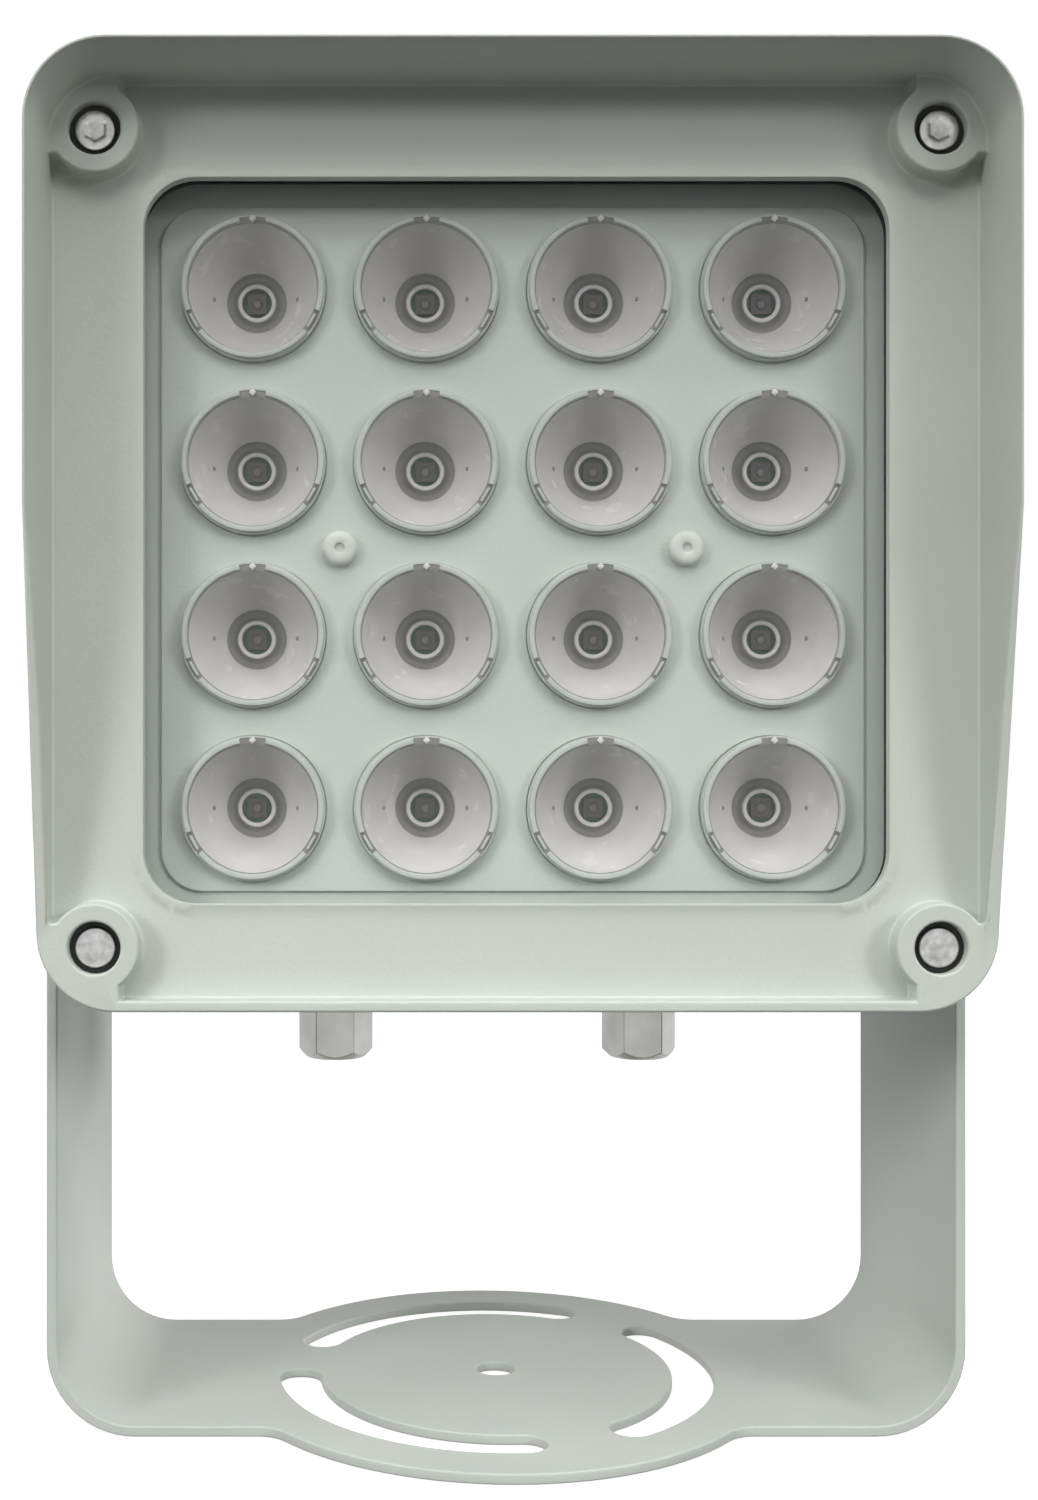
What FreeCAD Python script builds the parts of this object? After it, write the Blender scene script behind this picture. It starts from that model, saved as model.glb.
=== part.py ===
import FreeCAD, Part
import math
import os

# Infrared illuminator: a hooded lamp head with sixteen lensed emitters behind glass,
# tilting between the legs of a bent sheet bracket.
# Millimetres and degrees. X runs to the right, Y to the back and Z up, and the lamp looks along -Y.
# The origin is the centre of the underside of the bracket's mounting disc.

# Bracket, one bent steel sheet
SHEET = 2.5
LEG_CLEARANCE = 2.0
LEG_WIDTH = 77.0
BEND_RADIUS = 17.5
DISC_RADIUS = 65.0
DISC_FILLET = 8.0
CENTRE_HOLE_RADIUS = 4.775
SLOT_CIRCLE_RADIUS = 48.4
SLOT_WIDTH = 10.0
SLOT_COUNT = 3
SLOT_WEB_ANGLE = 20.0
FIRST_WEB_ANGLE = 50.0

# Pivot, on the axis X through the middle of the lamp
PIVOT_HEIGHT = 198.5
PIVOT_BOLT_RADIUS = 4.0
PIVOT_BOLT_LENGTH = 25.0
PIVOT_HEAD_FLATS = 13.0
PIVOT_HEAD_HEIGHT = 5.3
PIVOT_WASHER_RADIUS = 9.0
PIVOT_WASHER_THICKNESS = 1.6
PIVOT_DISC_RADIUS = 13.0
PIVOT_DISC_THICKNESS = 1.5
PIVOT_BOSS_RADIUS = 14.0
PIVOT_BOSS_DEPTH = 12.0
PIVOT_FIT = 0.05

# Front frame with its hood, one casting
BEZEL_WIDTH = 21.65
BEZEL_HEIGHT = 22.15
FRAME_CORNER = 16.5
FRAME_DEPTH = 20.0
FRAME_SKIRT = 4.5
RIM_REACH = 72.0
HOOD_REACH = 13.3
HOOD_CHEEK_DROP = 92.5
HOOD_FOOT_RISE = 16.5
HOOD_WALL = 2.4
HOOD_EDGE_THINNING = 1.9
HOOD_EDGE_DEPTH = 7.0
BEZEL_SETBACK = 5.0
BEZEL_THICKNESS = 2.0
WINDOW_MARGIN = 2.35
WINDOW_CORNER = 10.8
LIP_WIDTH = 3.4
LIP_HEIGHT = 1.0
LIP_LAND = 0.4

# Corner screws that hold the frame to the housing
CORNER_INSET_X = 12.0
CORNER_INSET_Z = 13.25
CORNER_BOSS_RADIUS = 9.3
CORNER_FILL = 5.2
CORNER_COLUMN_RADIUS = 7.0
SCREW_RADIUS = 2.5
SCREW_HEAD_RADIUS = 4.25
SCREW_HEAD_HEIGHT = 5.0
SCREW_LENGTH = 25.0
SCREW_SOCKET_FLATS = 4.0
SCREW_SOCKET_DEPTH = 2.5
COUNTERBORE_RADIUS = 5.45
COUNTERBORE_DEPTH = 6.5
SCREW_SEAL_HEIGHT = 4.0
CLEARANCE_HOLE = 0.25
THREAD_GAP = 0.05
THREAD_RUNOUT = 2.0

# Front glass and the gasket round its edge
GLASS_THICKNESS = 3.0
GLASS_OVERLAP = 4.15
GASKET_LIP = 0.6
GASKET_OVERLAP = 3.2
GASKET_EDGE = 1.0
GASKET_FIT = 0.1

# Rear housing, one finned casting
HOUSING_INSET_X = 4.5
HOUSING_INSET_Z = 3.0
HOUSING_CORNER = 14.0
HOUSING_DEPTH = 101.5
HOUSING_WALL = 3.0
HOUSING_FLOOR = 4.0
FLANGE_INSET = 1.0
FLANGE_THICKNESS = 5.0
FRAME_GASKET = 1.5
FRAME_GASKET_WIDTH = 5.5
FIN_COUNT = 13
FIN_PITCH = 14.0
FIN_HEIGHT = 13.0
FIN_ROOT = 3.4
FIN_TIP = 2.2
FIN_MARGIN = 10.0

# Emitters: lenses on a square grid, each over its own chip
GRID_COUNT = 4
LENS_PITCH = 37.1
LENS_DROP = 0.4
LENS_RADIUS = 15.3
LENS_HEIGHT = 14.6
LENS_GLASS_GAP = 0.8
BOWL_RADIUS = 13.75
BOWL_DEPTH = 8.3
EYE_RADIUS = 6.6
CHIP_SIZE = 4.5
CHIP_BASE = 1.0
CHIP_CAP_SIZE = 2.8
CHIP_HEIGHT = 2.0
CHIP_POCKET = 1.2

# Lens tray, board and heat spreader behind the glass
TRAY_MARGIN_X = 4.55
TRAY_MARGIN_Z = 2.55
TRAY_CORNER = 9.0
TRAY_WALL = 2.0
TRAY_SETBACK = 2.6
TRAY_LENS_GAP = 0.35
LEDGE_SETBACK = 0.8
LEDGE_THICKNESS = 1.5
LEDGE_RIM = 2.0
TRAY_POST_RADIUS = 4.5
TRAY_SCREW_RADIUS = 2.0
TRAY_HEAD_RADIUS = 3.75
TRAY_HEAD_HEIGHT = 2.2
TRAY_RECESS_RADIUS = 1.5
TRAY_RECESS_DEPTH = 1.2
BOARD_GAP = 0.5
BOARD_THICKNESS = 1.6
SPREADER_EDGE_X = 4.5
SPREADER_EDGE_Z = 1.25
SPREADER_THICKNESS = 4.0
SPREADER_CORNER = 4.0
SPREADER_SCREW_GAP = 1.0
SPREADER_SCREW_SPREAD = 60.0
SPREADER_COLUMN_RADIUS = 5.5
SPREADER_SCREW_RADIUS = 2.0
SPREADER_HEAD_RADIUS = 3.5
SPREADER_HEAD_HEIGHT = 2.6
SPREADER_SCREW_LENGTH = 12.0

# Driver, a board on the housing's floor with its main components
DRIVER_WIDTH = 116.0
DRIVER_HEIGHT = 84.0
DRIVER_THICKNESS = 1.6
DRIVER_RISE = 10.0
DRIVER_STANDOFF = 8.0
DRIVER_HOLE_INSET = 6.0
STANDOFF_RADIUS = 3.5
DRIVER_SCREW_RADIUS = 1.5
DRIVER_HEAD_RADIUS = 2.75
DRIVER_HEAD_HEIGHT = 2.0
DRIVER_SCREW_LENGTH = 6.0
COIL_SIZE = 26.0
COIL_HEIGHT = 22.0
COIL_CORNER = 3.0
COIL_X = -28.0
CAPACITOR_RADIUS = 8.0
CAPACITOR_LENGTH = 26.0
CAPACITOR_X = 8.0
TERMINAL_LENGTH = 30.0
TERMINAL_DEPTH = 10.0
TERMINAL_HEIGHT = 12.0
TERMINAL_X = 24.0
TERMINAL_DROP = 30.0

# Cable glands under the housing
GLAND_X = 40.65
GLAND_INSET = 17.0
GLAND_FLATS = 17.2
GLAND_THREAD_RADIUS = 7.6
GLAND_THREAD_LENGTH = 8.0
GLAND_HEX_HEIGHT = 7.0
GLAND_NECK_RADIUS = 6.8
GLAND_NECK_SHOWN = 3.0
GLAND_NECK_LENGTH = 13.0
GLAND_NUT_LENGTH = 18.8
GLAND_NUT_END = 4.8
GLAND_NUT_BEVEL = 2.2
GLAND_BORE_RADIUS = 4.4
GLAND_MOUTH_RADIUS = 4.6
GLAND_LOCKNUT_FLATS = 19.0
GLAND_LOCKNUT_HEIGHT = 3.0
SEAL_RADIUS = 5.6
SEAL_BORE_RADIUS = 3.5
SEAL_LENGTH = 8.5
SEAL_FIT = 0.1

# Sizes that follow from the ones above, from the grid of lenses outwards
grid_width = (GRID_COUNT - 1) * LENS_PITCH + 2 * LENS_RADIUS
tray_width = grid_width + 2 * TRAY_MARGIN_X
tray_height = grid_width + 2 * TRAY_MARGIN_Z
window_width = tray_width + 2 * WINDOW_MARGIN
window_height = tray_height + 2 * WINDOW_MARGIN
frame_width = window_width + 2 * BEZEL_WIDTH
frame_height = window_height + 2 * BEZEL_HEIGHT
corner_x = frame_width / 2 - CORNER_INSET_X
corner_z = frame_height / 2 - CORNER_INSET_Z
housing_width = frame_width - 2 * HOUSING_INSET_X
housing_height = frame_height - 2 * HOUSING_INSET_Z
spreader_screw_x = tray_width / 2 + SPREADER_SCREW_GAP + SPREADER_HEAD_RADIUS
spreader_width = 2 * (spreader_screw_x + SPREADER_EDGE_X)
spreader_height = tray_height + 2 * SPREADER_EDGE_Z
glass_width = window_width + 2 * GLASS_OVERLAP
glass_height = window_height + 2 * GLASS_OVERLAP
glass_corner = WINDOW_CORNER + GLASS_OVERLAP
board_width = tray_width - 2 * TRAY_WALL - 2 * BOARD_GAP
board_height = tray_height - 2 * TRAY_WALL - 2 * BOARD_GAP
board_corner = TRAY_CORNER - TRAY_WALL - BOARD_GAP
gasket_edge = GASKET_EDGE + GASKET_FIT
gasket_width = glass_width + 2 * gasket_edge
gasket_height = glass_height + 2 * gasket_edge
gasket_corner = glass_corner + gasket_edge
thread_hole_radius = SCREW_RADIUS + THREAD_GAP

# Places that follow
rim_y = -RIM_REACH
hood_y = rim_y - HOOD_REACH
bezel_y = rim_y + BEZEL_SETBACK
lip_y = bezel_y - LIP_HEIGHT
bezel_back_y = bezel_y + BEZEL_THICKNESS
glass_y = bezel_back_y + GASKET_LIP
glass_back_y = glass_y + GLASS_THICKNESS
gasket_back_y = glass_back_y + GASKET_LIP
lens_y = glass_back_y + LENS_GLASS_GAP
board_y = lens_y + LENS_HEIGHT
spreader_y = board_y + BOARD_THICKNESS
spreader_back_y = spreader_y + SPREADER_THICKNESS
tray_y = lens_y + TRAY_SETBACK
frame_back_y = rim_y + FRAME_DEPTH
housing_y = frame_back_y + FRAME_GASKET
housing_back_y = housing_y + HOUSING_DEPTH
floor_y = housing_back_y - HOUSING_FLOOR
driver_y = floor_y - DRIVER_STANDOFF
driver_front_y = driver_y - DRIVER_THICKNESS
gland_y = housing_back_y - GLAND_INSET

lamp_z = PIVOT_HEIGHT
lens_z = lamp_z - LENS_DROP
driver_z = lamp_z + DRIVER_RISE
frame_top_z = lamp_z + frame_height / 2
frame_bottom_z = lamp_z - frame_height / 2
housing_bottom_z = lamp_z - housing_height / 2
hex_bottom_z = housing_bottom_z - GLAND_HEX_HEIGHT
nut_top_z = hex_bottom_z - GLAND_NECK_SHOWN
nut_bottom_z = nut_top_z - GLAND_NUT_LENGTH
nut_seat_z = nut_bottom_z + GLAND_NUT_END

leg_inner_x = frame_width / 2 + LEG_CLEARANCE
leg_outer_x = leg_inner_x + SHEET
boss_face_x = leg_inner_x - PIVOT_DISC_THICKNESS - 2 * PIVOT_FIT
washer_x = leg_outer_x + PIVOT_FIT
bolt_head_x = washer_x + PIVOT_WASHER_THICKNESS
bolt_end_x = bolt_head_x - PIVOT_BOLT_LENGTH

SIDES = (-1, 1)
OVERCUT = 1.0
SAME_PLACE = 0.05
SAME_WAY_ANGLE = 2.0
HEX_COUNT = 6


def vec(x, y, z):
    return FreeCAD.Vector(x, y, z)


AXIS_X = vec(1, 0, 0)
AXIS_Y = vec(0, 1, 0)
AXIS_Z = vec(0, 0, 1)


def box(x_range, y_range, z_range):
    """Plain block between pairs of coordinates."""
    low = vec(min(x_range), min(y_range), min(z_range))
    high = vec(max(x_range), max(y_range), max(z_range))
    size = high - low
    return Part.makeBox(size.x, size.y, size.z, low)


def rod_x(radius, x_from, x_to, y, z):
    start = min(x_from, x_to)
    return Part.makeCylinder(radius, abs(x_to - x_from), vec(start, y, z), AXIS_X)


def rod_y(radius, y_from, y_to, x, z):
    return Part.makeCylinder(radius, y_to - y_from, vec(x, y_from, z), AXIS_Y)


def rod_z(radius, z_from, z_to, x, y):
    return Part.makeCylinder(radius, z_to - z_from, vec(x, y, z_from), AXIS_Z)


def edges_along(shape, axis):
    """Straight edges of a shape that run along an axis."""
    found = []
    for edge in shape.Edges:
        if not isinstance(edge.Curve, Part.Line):
            continue
        turn = math.degrees(edge.tangentAt(edge.FirstParameter).getAngle(axis))
        if min(turn, 180 - turn) < SAME_WAY_ANGLE:
            found.append(edge)
    return found


def plate(width, height, corner, y_from, y_to, z_middle):
    """Rounded rectangle that faces the front, between two depths."""
    block = box((-width / 2, width / 2), (y_from, y_to), (z_middle - height / 2, z_middle + height / 2))
    return block.makeFillet(corner, edges_along(block, AXIS_Y))


def tapered_plate(width, height, corner, y_from, y_to, growth):
    """Rounded rectangle about the lamp's axis that grows on each side between two depths."""
    outlines = []
    for y, more in ((y_from, 0), (y_to, growth)):
        slab = plate(width + 2 * more, height + 2 * more, corner + more, y, y + OVERCUT, lamp_z)
        fronts = [face for face in slab.Faces if abs(face.CenterOfMass.y - y) < SAME_PLACE]
        outlines.append(fronts[0].OuterWire)
    return Part.makeLoft(outlines, True, True)


def hexagon_corner(flats):
    """Distance from the middle of a hexagon to its corners."""
    return flats / 2 / math.cos(math.pi / HEX_COUNT)


def hexagon(flats, length, start, axis, across):
    """Hexagonal bar with one corner on the across direction."""
    corners = []
    for step in range(HEX_COUNT + 1):
        turn = FreeCAD.Rotation(axis, 360 / HEX_COUNT * step)
        corners.append(start + turn.multVec(across * hexagon_corner(flats)))
    return Part.Face(Part.makePolygon(corners)).extrude(axis * length)


def revolve_z(points, x, y):
    """Solid of revolution about a vertical axis, from (radius, height) points."""
    outline = [vec(x + radius, y, height) for radius, height in points]
    outline.append(outline[0])
    return Part.Face(Part.makePolygon(outline)).revolve(vec(x, y, 0), AXIS_Z, 360)


def corner_places():
    """Centres of the four corner screws, as X, Z and the side that each is on."""
    for side in SIDES:
        for level in SIDES:
            yield side * corner_x, lamp_z + level * corner_z, side, level


def lens_places(row):
    """Centres of one row of lenses, as X and Z; rows count from the top."""
    first = LENS_RADIUS - grid_width / 2
    for column in range(GRID_COUNT):
        yield first + column * LENS_PITCH, lens_z - first - row * LENS_PITCH


def tray_screw_places():
    return [(side * LENS_PITCH, lens_z) for side in SIDES]


def spreader_screw_places():
    for side in SIDES:
        for level in SIDES:
            yield side * spreader_screw_x, lens_z + level * SPREADER_SCREW_SPREAD, side


def driver_screw_places():
    for side in SIDES:
        for level in SIDES:
            x = side * (DRIVER_WIDTH / 2 - DRIVER_HOLE_INSET)
            yield x, driver_z + level * (DRIVER_HEIGHT / 2 - DRIVER_HOLE_INSET)


def arc_slot(middle_angle, half_span):
    """Slot along the slot circle with round ends, through the disc."""
    inner = SLOT_CIRCLE_RADIUS - SLOT_WIDTH / 2
    outer = SLOT_CIRCLE_RADIUS + SLOT_WIDTH / 2

    def at(radius, angle):
        turn = math.radians(angle)
        return vec(radius * math.cos(turn), radius * math.sin(turn), -OVERCUT)

    first = middle_angle - half_span
    last = middle_angle + half_span
    end_turn = math.degrees(SLOT_WIDTH / 2 / SLOT_CIRCLE_RADIUS)
    outline = Part.Wire([
        Part.Arc(at(outer, first), at(outer, middle_angle), at(outer, last)).toShape(),
        Part.Arc(at(outer, last), at(SLOT_CIRCLE_RADIUS, last + end_turn), at(inner, last)).toShape(),
        Part.Arc(at(inner, last), at(inner, middle_angle), at(inner, first)).toShape(),
        Part.Arc(at(inner, first), at(SLOT_CIRCLE_RADIUS, first - end_turn), at(outer, first)).toShape(),
    ])
    return Part.Face(outline).extrude(AXIS_Z * (SHEET + 2 * OVERCUT))


def make_bracket():
    """One sheet: a strap with a round disc in its middle, bent up into two legs."""
    top = PIVOT_HEIGHT + LEG_WIDTH
    reach_y = (-LEG_WIDTH / 2, LEG_WIDTH / 2)
    outside = box((-leg_outer_x, leg_outer_x), reach_y, (0, top))
    low_edges = [edge for edge in edges_along(outside, AXIS_Y) if edge.CenterOfMass.z < SHEET]
    outside = outside.makeFillet(BEND_RADIUS + SHEET, low_edges)
    inside = box((-leg_inner_x, leg_inner_x), reach_y, (SHEET, top + OVERCUT))
    low_edges = [edge for edge in edges_along(inside, AXIS_Y) if edge.CenterOfMass.z < 2 * SHEET]
    strap = outside.cut(inside.makeFillet(BEND_RADIUS, low_edges))

    side_form = box((-leg_outer_x, leg_outer_x), reach_y, (0, PIVOT_HEIGHT))
    side_form = side_form.fuse(rod_x(LEG_WIDTH / 2, -leg_outer_x, leg_outer_x, 0, PIVOT_HEIGHT))
    strap = strap.common(side_form)

    sheet = strap.fuse(rod_z(DISC_RADIUS, 0, SHEET, 0, 0)).removeSplitter()
    necks = []
    for edge in edges_along(sheet, AXIS_Z):
        place = edge.CenterOfMass
        if abs(math.hypot(place.x, place.y) - DISC_RADIUS) < SAME_PLACE:
            necks.append(edge)
    sheet = sheet.makeFillet(DISC_FILLET, necks)

    sheet = sheet.cut(rod_z(CENTRE_HOLE_RADIUS, -OVERCUT, SHEET + OVERCUT, 0, 0))
    end_angle = math.degrees(math.asin(SLOT_WIDTH / 2 / SLOT_CIRCLE_RADIUS))
    share = 360 / SLOT_COUNT
    for index in range(SLOT_COUNT):
        middle = FIRST_WEB_ANGLE + share * (index + 0.5)
        sheet = sheet.cut(arc_slot(middle, (share - SLOT_WEB_ANGLE) / 2 - end_angle))
    hole_end = leg_outer_x + OVERCUT
    return sheet.cut(rod_x(PIVOT_BOLT_RADIUS + PIVOT_FIT, -hole_end, hole_end, 0, PIVOT_HEIGHT))


def hood_side_cut():
    """Space in front of the frame's raked sides: a straight cheek, a slope and the rim below."""
    cheek_z = frame_top_z - HOOD_CHEEK_DROP
    foot_z = frame_bottom_z + HOOD_FOOT_RISE
    low_z = frame_bottom_z - OVERCUT
    front_y = hood_y - OVERCUT
    x = -frame_width
    outline = [
        vec(x, front_y, cheek_z), vec(x, hood_y, cheek_z), vec(x, rim_y, foot_z),
        vec(x, rim_y, low_z), vec(x, front_y, low_z), vec(x, front_y, cheek_z),
    ]
    return Part.Face(Part.makePolygon(outline)).extrude(AXIS_X * (2 * frame_width))


def hood_edge_cut():
    """Inside of the hood's front edge, which thins the wall towards the front."""
    width = frame_width - 2 * HOOD_WALL
    height = frame_height - 2 * HOOD_WALL
    corner = FRAME_CORNER - HOOD_WALL
    flare = tapered_plate(width, height, corner, hood_y + HOOD_EDGE_DEPTH, hood_y, HOOD_EDGE_THINNING)
    more = 2 * HOOD_EDGE_THINNING
    mouth = plate(width + more, height + more, corner + HOOD_EDGE_THINNING,
                  hood_y - OVERCUT, hood_y, lamp_z)
    return flare.fuse(mouth)


def corner_boss(x, z, side, level, outline):
    """Round lobe about a corner screw, filled out to the corner of the frame."""
    edge_x = side * frame_width / 2
    edge_z = lamp_z + level * frame_height / 2
    depth = (rim_y, frame_back_y)
    boss = rod_y(CORNER_BOSS_RADIUS, rim_y, frame_back_y, x, z)
    boss = boss.fuse(box((x, edge_x), depth, (z - level * CORNER_FILL, edge_z)))
    boss = boss.fuse(box((x - side * CORNER_FILL, edge_x), depth, (z, edge_z)))
    return boss.common(outline)


def make_front_frame():
    """Casting with the hood, the bezel round the window and the four screw bosses."""
    outline = plate(frame_width, frame_height, FRAME_CORNER, hood_y, frame_back_y, lamp_z)
    bosses = []
    for x, z, side, level in corner_places():
        bosses.append(corner_boss(x, z, side, level, outline))
    bosses = bosses[0].multiFuse(bosses[1:])

    pocket = plate(frame_width - 2 * HOOD_WALL, frame_height - 2 * HOOD_WALL,
                   FRAME_CORNER - HOOD_WALL, hood_y - OVERCUT, bezel_y, lamp_z)
    cavity = plate(frame_width - 2 * FRAME_SKIRT, frame_height - 2 * FRAME_SKIRT,
                   FRAME_CORNER - FRAME_SKIRT, bezel_back_y, frame_back_y + OVERCUT, lamp_z)
    frame = outline.cut(hood_side_cut()).cut(hood_edge_cut())
    frame = frame.cut(pocket.cut(bosses)).cut(cavity.cut(bosses))

    frame = frame.fuse(tapered_plate(window_width + 2 * LIP_LAND, window_height + 2 * LIP_LAND,
                                     WINDOW_CORNER + LIP_LAND, lip_y, bezel_y, LIP_WIDTH - LIP_LAND))
    frame = frame.cut(plate(window_width, window_height, WINDOW_CORNER,
                            lip_y - OVERCUT, bezel_back_y + OVERCUT, lamp_z))
    for x, z, _, _ in corner_places():
        frame = frame.cut(rod_y(COUNTERBORE_RADIUS, rim_y - OVERCUT, rim_y + COUNTERBORE_DEPTH, x, z))
        frame = frame.cut(rod_y(SCREW_RADIUS + CLEARANCE_HOLE, rim_y, frame_back_y + OVERCUT, x, z))
    return frame.removeSplitter()


def make_frame_screws():
    """Four socket head screws, sunk in the corner bosses."""
    seat_y = rim_y + COUNTERBORE_DEPTH
    screws = []
    for x, z, _, _ in corner_places():
        head_y = seat_y - SCREW_HEAD_HEIGHT
        screw = rod_y(SCREW_HEAD_RADIUS, head_y, seat_y, x, z)
        screw = screw.fuse(rod_y(SCREW_RADIUS, seat_y, seat_y + SCREW_LENGTH, x, z))
        socket = hexagon(SCREW_SOCKET_FLATS, SCREW_SOCKET_DEPTH, vec(x, head_y, z), AXIS_Y, AXIS_X)
        screws.append(screw.cut(socket))
    return Part.makeCompound(screws)


def make_frame_screw_seals():
    """Rubber sleeves that fill the counterbores round the screw heads."""
    seat_y = rim_y + COUNTERBORE_DEPTH
    seals = []
    for x, z, _, _ in corner_places():
        sleeve = rod_y(COUNTERBORE_RADIUS - SEAL_FIT, seat_y - SCREW_SEAL_HEIGHT, seat_y, x, z)
        bore = rod_y(SCREW_HEAD_RADIUS + SEAL_FIT, seat_y - SCREW_SEAL_HEIGHT, seat_y, x, z)
        seals.append(sleeve.cut(bore))
    return Part.makeCompound(seals)


def make_front_glass():
    return plate(glass_width, glass_height, glass_corner, glass_y, glass_back_y, lamp_z)


def make_glass_gasket():
    """Silicone channel that wraps the edge of the glass."""
    ring = plate(gasket_width, gasket_height, gasket_corner, bezel_back_y, gasket_back_y, lamp_z)
    sight_width = glass_width - 2 * GASKET_OVERLAP
    sight_height = glass_height - 2 * GASKET_OVERLAP
    sight = plate(sight_width, sight_height, glass_corner - GASKET_OVERLAP,
                  bezel_back_y - OVERCUT, gasket_back_y + OVERCUT, lamp_z)
    channel = plate(glass_width + 2 * GASKET_FIT, glass_height + 2 * GASKET_FIT,
                    glass_corner + GASKET_FIT, glass_y, glass_back_y, lamp_z)
    return ring.cut(sight).cut(channel)


def make_frame_gasket():
    """Flat seal between frame and housing, with an eye round each corner screw."""
    flange_width = frame_width - 2 * FLANGE_INSET
    flange_height = frame_height - 2 * FLANGE_INSET
    corner = FRAME_CORNER - FLANGE_INSET
    outline = plate(flange_width, flange_height, corner, frame_back_y, housing_y, lamp_z)
    inside = plate(flange_width - 2 * FRAME_GASKET_WIDTH, flange_height - 2 * FRAME_GASKET_WIDTH,
                   corner - FRAME_GASKET_WIDTH, frame_back_y, housing_y, lamp_z)
    ring = outline.cut(inside)
    for x, z, _, _ in corner_places():
        ring = ring.fuse(rod_y(CORNER_COLUMN_RADIUS, frame_back_y, housing_y, x, z).common(outline))
    for x, z, _, _ in corner_places():
        hole_ends = (frame_back_y - OVERCUT, housing_y + OVERCUT)
        ring = ring.cut(rod_y(SCREW_RADIUS + CLEARANCE_HOLE, *hole_ends, x, z))
    return ring.removeSplitter()


def housing_fins():
    """Row of upright cooling fins, each thinner at its tip."""
    fins = []
    length = housing_height - 2 * FIN_MARGIN
    low_z = lamp_z - length / 2
    for index in range(FIN_COUNT):
        x = (index - (FIN_COUNT - 1) / 2) * FIN_PITCH
        root_y = housing_back_y - HOUSING_FLOOR / 2
        tip_y = housing_back_y + FIN_HEIGHT
        outline = [
            vec(x - FIN_ROOT / 2, root_y, low_z), vec(x - FIN_TIP / 2, tip_y, low_z),
            vec(x + FIN_TIP / 2, tip_y, low_z), vec(x + FIN_ROOT / 2, root_y, low_z),
            vec(x - FIN_ROOT / 2, root_y, low_z),
        ]
        fins.append(Part.Face(Part.makePolygon(outline)).extrude(AXIS_Z * length))
    return fins


def make_rear_housing():
    """Cast tub, open to the front, with fins behind and every boss cast in."""
    outline = plate(housing_width, housing_height, HOUSING_CORNER, housing_y, housing_back_y, lamp_z)
    inside = plate(housing_width - 2 * HOUSING_WALL, housing_height - 2 * HOUSING_WALL,
                   HOUSING_CORNER - HOUSING_WALL, housing_y - OVERCUT, floor_y, lamp_z)
    flange = plate(frame_width - 2 * FLANGE_INSET, frame_height - 2 * FLANGE_INSET,
                   FRAME_CORNER - FLANGE_INSET, housing_y, housing_y + FLANGE_THICKNESS, lamp_z)
    tub = outline.fuse(flange).cut(inside)

    added = housing_fins()
    for x, z, _, _ in corner_places():
        added.append(rod_y(CORNER_COLUMN_RADIUS, housing_y, floor_y + HOUSING_FLOOR / 2, x, z).common(outline))
    inner_x = housing_width / 2 - HOUSING_WALL / 2
    for x, z, side in spreader_screw_places():
        added.append(rod_y(SPREADER_COLUMN_RADIUS, spreader_back_y, floor_y + HOUSING_FLOOR / 2, x, z))
        web_z = (z - HOUSING_WALL / 2, z + HOUSING_WALL / 2)
        added.append(box((x, side * inner_x), (spreader_back_y, floor_y + HOUSING_FLOOR / 2), web_z))
    for x, z in driver_screw_places():
        added.append(rod_y(STANDOFF_RADIUS, driver_y, floor_y + HOUSING_FLOOR / 2, x, z))
    for side in SIDES:
        inner_end = side * (housing_width / 2 - HOUSING_WALL - PIVOT_BOSS_DEPTH)
        added.append(rod_x(PIVOT_BOSS_RADIUS, inner_end, side * boss_face_x, 0, PIVOT_HEIGHT))
    tub = tub.multiFuse(added)

    for x, z, _, _ in corner_places():
        end_y = rim_y + COUNTERBORE_DEPTH + SCREW_LENGTH + THREAD_RUNOUT
        tub = tub.cut(rod_y(thread_hole_radius, housing_y - OVERCUT, end_y, x, z))
    for x, z, _ in spreader_screw_places():
        end_y = spreader_y + SPREADER_SCREW_LENGTH + THREAD_RUNOUT
        tub = tub.cut(rod_y(SPREADER_SCREW_RADIUS + THREAD_GAP, spreader_back_y - OVERCUT, end_y, x, z))
    for x, z in driver_screw_places():
        end_y = driver_front_y + DRIVER_SCREW_LENGTH + THREAD_RUNOUT / 2
        tub = tub.cut(rod_y(DRIVER_SCREW_RADIUS + THREAD_GAP, driver_y - OVERCUT, end_y, x, z))
    for side in SIDES:
        hole_ends = (side * (bolt_end_x - THREAD_RUNOUT), side * (boss_face_x + OVERCUT))
        tub = tub.cut(rod_x(PIVOT_BOLT_RADIUS + THREAD_GAP, *hole_ends, 0, PIVOT_HEIGHT))
        entry_top = housing_bottom_z + HOUSING_WALL + OVERCUT
        tub = tub.cut(rod_z(GLAND_THREAD_RADIUS + CLEARANCE_HOLE, housing_bottom_z - OVERCUT, entry_top,
                            side * GLAND_X, gland_y))
    return tub.removeSplitter()


def make_lens_row(row):
    """Four moulded collimators, each a bowl on a plain foot that stands on the board."""
    pocket_y = board_y - CHIP_HEIGHT - CHIP_POCKET
    half = CHIP_SIZE / 2 + CHIP_POCKET
    lenses = []
    for x, z in lens_places(row):
        lens = rod_y(LENS_RADIUS, lens_y, board_y, x, z)
        lens = lens.cut(Part.makeCone(BOWL_RADIUS, EYE_RADIUS, BOWL_DEPTH, vec(x, lens_y, z), AXIS_Y))
        lenses.append(lens.cut(box((x - half, x + half), (pocket_y, board_y + OVERCUT), (z - half, z + half))))
    return Part.makeCompound(lenses)


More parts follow.
